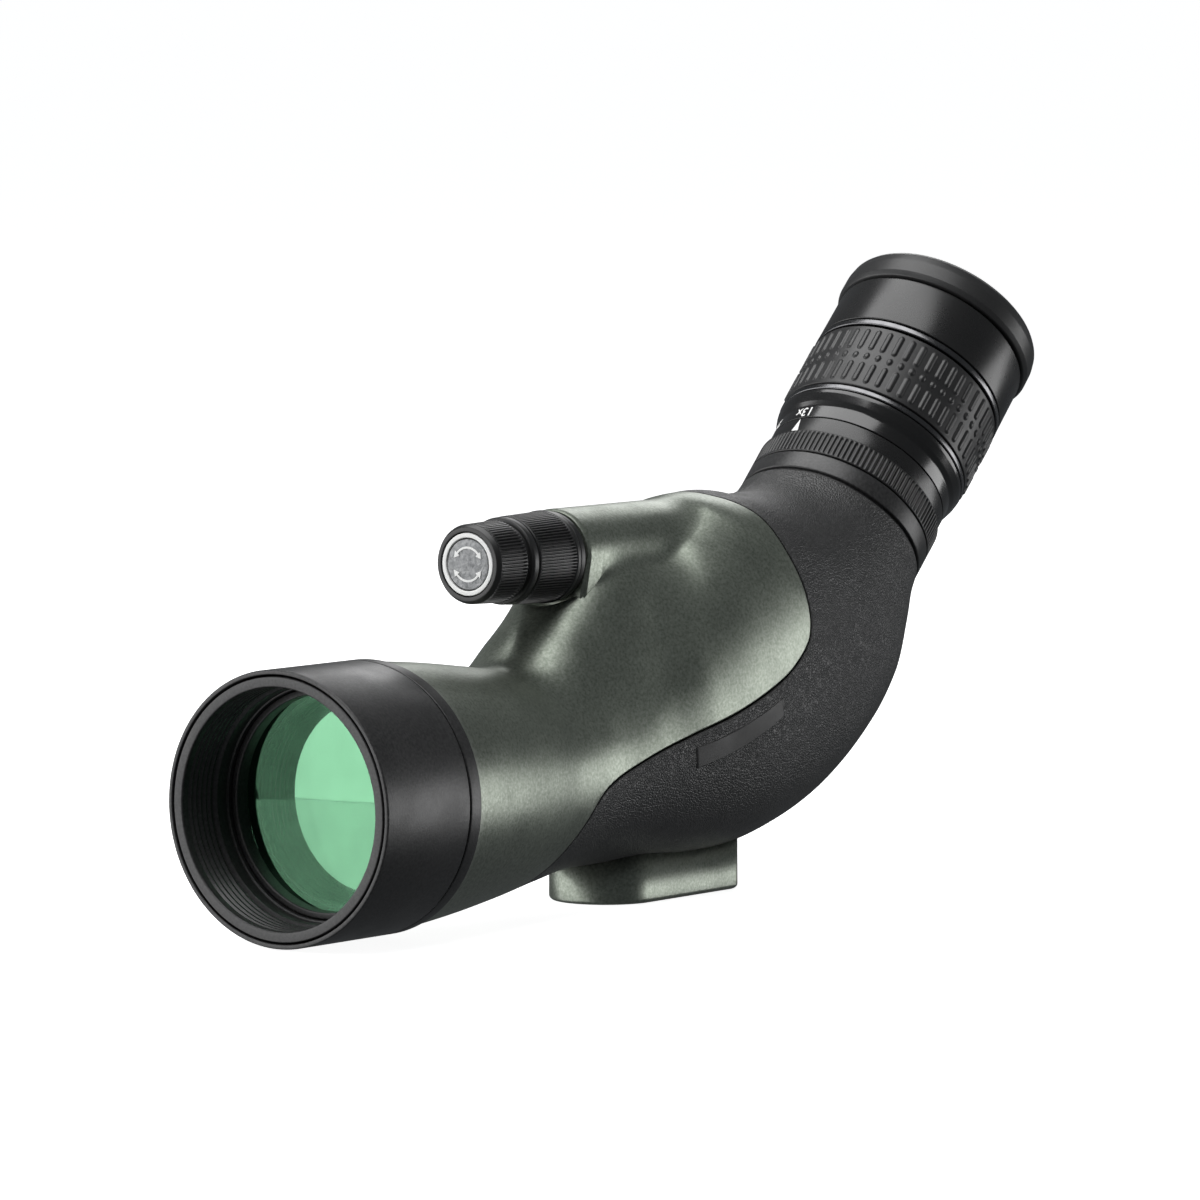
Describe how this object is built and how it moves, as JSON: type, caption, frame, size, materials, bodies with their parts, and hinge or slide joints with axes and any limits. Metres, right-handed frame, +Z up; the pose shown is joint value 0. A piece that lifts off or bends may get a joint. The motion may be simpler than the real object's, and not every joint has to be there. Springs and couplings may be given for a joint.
{
  "type": "spotting scope",
  "caption": "Angled spotting scope with a round objective under a sliding hood, dual-speed focus knob on top, 45 degree zoom eyepiece, twist-up eyecup and tripod foot.",
  "frame": {"origin": "centre of the footprint at the underside of the tripod foot", "axes": "+Z up, -Y the way the objective looks, +X to the right as seen from the front"},
  "size_m": [0.064, 0.2892, 0.1518],
  "materials": {
    "green_coat": "satin sage green paint with fine metallic speckle",
    "armour_rubber": "black rubber with fine leather grain",
    "black_coat": "satin black fine-grained coat",
    "knob_black": "black ribbed plastic",
    "grip_rubber": "soft black rubber",
    "white_print": "white ring",
    "cap_grey": "grey textured disc",
    "bright_trim": "bright turned metal",
    "coated_glass": "green anti-reflection coating",
    "prism_glass": "clear optical glass",
    "brass": "turned brass",
    "steel": "bright steel",
    "inner_alloy": "dark anodised alloy"
  },
  "bodies": {
    "scope_body": {"front_ring": "black_coat", "objective_tube": "black_coat", "objective_retainer": "black_coat", "objective_front_lens": "coated_glass", "lens_spacer": "inner_alloy", "objective_rear_lens": "coated_glass", "main_housing": "green_coat", "rear_housing": "inner_alloy", "rubber_armour": "armour_rubber", "tripod_foot": "green_coat", "thread_insert": "steel", "foot_screw_1": "steel", "foot_screw_2": "steel", "knob_seat_ring": "knob_black", "race_sleeve": "steel", "guide_rod": "steel", "front_bearing_plate": "inner_alloy", "optical_bench_plate": "inner_alloy", "roof_prism": "prism_glass", "prism_plate_left": "inner_alloy", "prism_plate_right": "inner_alloy", "prism_clamp": "steel", "prism_screw_left": "steel", "prism_screw_right": "steel", "eyepiece_collar": "black_coat", "index_ring": "black_coat", "eyepiece_barrel": "inner_alloy", "ocular_sleeve": "black_coat", "field_stop": "inner_alloy", "eye_lens_cell": "black_coat", "eye_lens": "coated_glass"},
    "hood": {"hood_sleeve": "black_coat", "hood_o_ring": "grip_rubber"},
    "coarse_focus": {"coarse_knob": "knob_black", "focus_screw": "steel"},
    "fine_focus": {"fine_knob": "knob_black", "cap_ring": "white_print", "cap_disc": "cap_grey", "fine_shaft": "steel"},
    "ball_1": {"reduction_ball_1": "steel"},
    "ball_2": {"reduction_ball_2": "steel"},
    "ball_3": {"reduction_ball_3": "steel"},
    "focus_group": {"focus_nut": "brass", "focus_carriage": "inner_alloy", "focusing_lens": "prism_glass"},
    "clamp": {"clamp_ring": "knob_black"},
    "zoom": {"zoom_ring": "black_coat", "bright_trim": "bright_trim", "zoom_grip": "grip_rubber", "grip_trim": "bright_trim", "cam_tube": "brass", "zoom_drive_pin": "steel"},
    "lower_zoom_group": {"lower_zoom_cell": "inner_alloy", "lower_zoom_lens": "prism_glass"},
    "upper_zoom_group": {"upper_zoom_cell": "inner_alloy", "upper_zoom_lens": "prism_glass"},
    "eyecup_carrier": {"eyecup_click_ring": "brass"},
    "eyecup": {"eyecup_tube": "black_coat", "eyecup_rubber": "grip_rubber"}
  },
  "joints": [
    {"name": "hood_slide", "type": "slide", "parent": "scope_body", "child": "hood", "axis": [0, -1, 0], "range_m": [0, 0.022]},
    {"name": "coarse_turn", "type": "hinge", "parent": "scope_body", "child": "coarse_focus", "pos_m": [0, -0.04965, 0.0841], "axis": [0, -1, 0], "range_deg": [-270, 270]},
    {"name": "fine_turn", "type": "hinge", "parent": "scope_body", "child": "fine_focus", "pos_m": [0, -0.06665, 0.0841], "axis": [0, -1, 0], "range_deg": [-952, 952]},
    {"name": "ball_1_spin", "type": "hinge", "parent": "coarse_focus", "child": "ball_1", "pos_m": [0.0037, -0.05025, 0.0841], "axis": [0, -1, 0], "range_deg": [-895, 895]},
    {"name": "ball_2_spin", "type": "hinge", "parent": "coarse_focus", "child": "ball_2", "pos_m": [-0.00185, -0.05025, 0.0809], "axis": [0, -1, 0], "range_deg": [-895, 895]},
    {"name": "ball_3_spin", "type": "hinge", "parent": "coarse_focus", "child": "ball_3", "pos_m": [-0.00185, -0.05025, 0.0873], "axis": [0, -1, 0], "range_deg": [-895, 895]},
    {"name": "focus_travel", "type": "slide", "parent": "scope_body", "child": "focus_group", "axis": [0, 1, 0], "range_m": [-0.0061, 0.0061]},
    {"name": "clamp_turn", "type": "hinge", "parent": "scope_body", "child": "clamp", "pos_m": [0, 0.08066, 0.0878], "axis": [0, 0.7071, 0.7071], "range_deg": [0, 60]},
    {"name": "zoom_turn", "type": "hinge", "parent": "scope_body", "child": "zoom", "pos_m": [0, 0.09656, 0.10371], "axis": [0, 0.7071, 0.7071], "range_deg": [0, 120]},
    {"name": "lower_zoom_travel", "type": "slide", "parent": "scope_body", "child": "lower_zoom_group", "axis": [0, 0.7071, 0.7071], "range_m": [0, 0.0091]},
    {"name": "upper_zoom_travel", "type": "slide", "parent": "scope_body", "child": "upper_zoom_group", "axis": [0, 0.7071, 0.7071], "range_m": [-0.0041, 0]},
    {"name": "eyecup_lift", "type": "slide", "parent": "scope_body", "child": "eyecup_carrier", "axis": [0, 0.7071, 0.7071], "range_m": [0, 0.0081]},
    {"name": "eyecup_twist", "type": "hinge", "parent": "eyecup_carrier", "child": "eyecup", "pos_m": [0, 0.12344, 0.13058], "axis": [0, 0.7071, 0.7071], "range_deg": [0, 300]}
  ],
  "couplings": [
    {"joint": "fine_turn", "follows": "coarse_turn", "ratio": 3.5238},
    {"joint": "ball_1_spin", "follows": "coarse_turn", "ratio": -3.3125},
    {"joint": "ball_2_spin", "follows": "coarse_turn", "ratio": -3.3125},
    {"joint": "ball_3_spin", "follows": "coarse_turn", "ratio": -3.3125},
    {"joint": "focus_travel", "follows": "coarse_turn", "m_per_rad": 0.0012732},
    {"joint": "lower_zoom_travel", "follows": "zoom_turn", "m_per_rad": 0.0042972},
    {"joint": "upper_zoom_travel", "follows": "zoom_turn", "m_per_rad": -0.0019099},
    {"joint": "eyecup_lift", "follows": "eyecup_twist", "m_per_rad": 0.0015279}
  ]
}
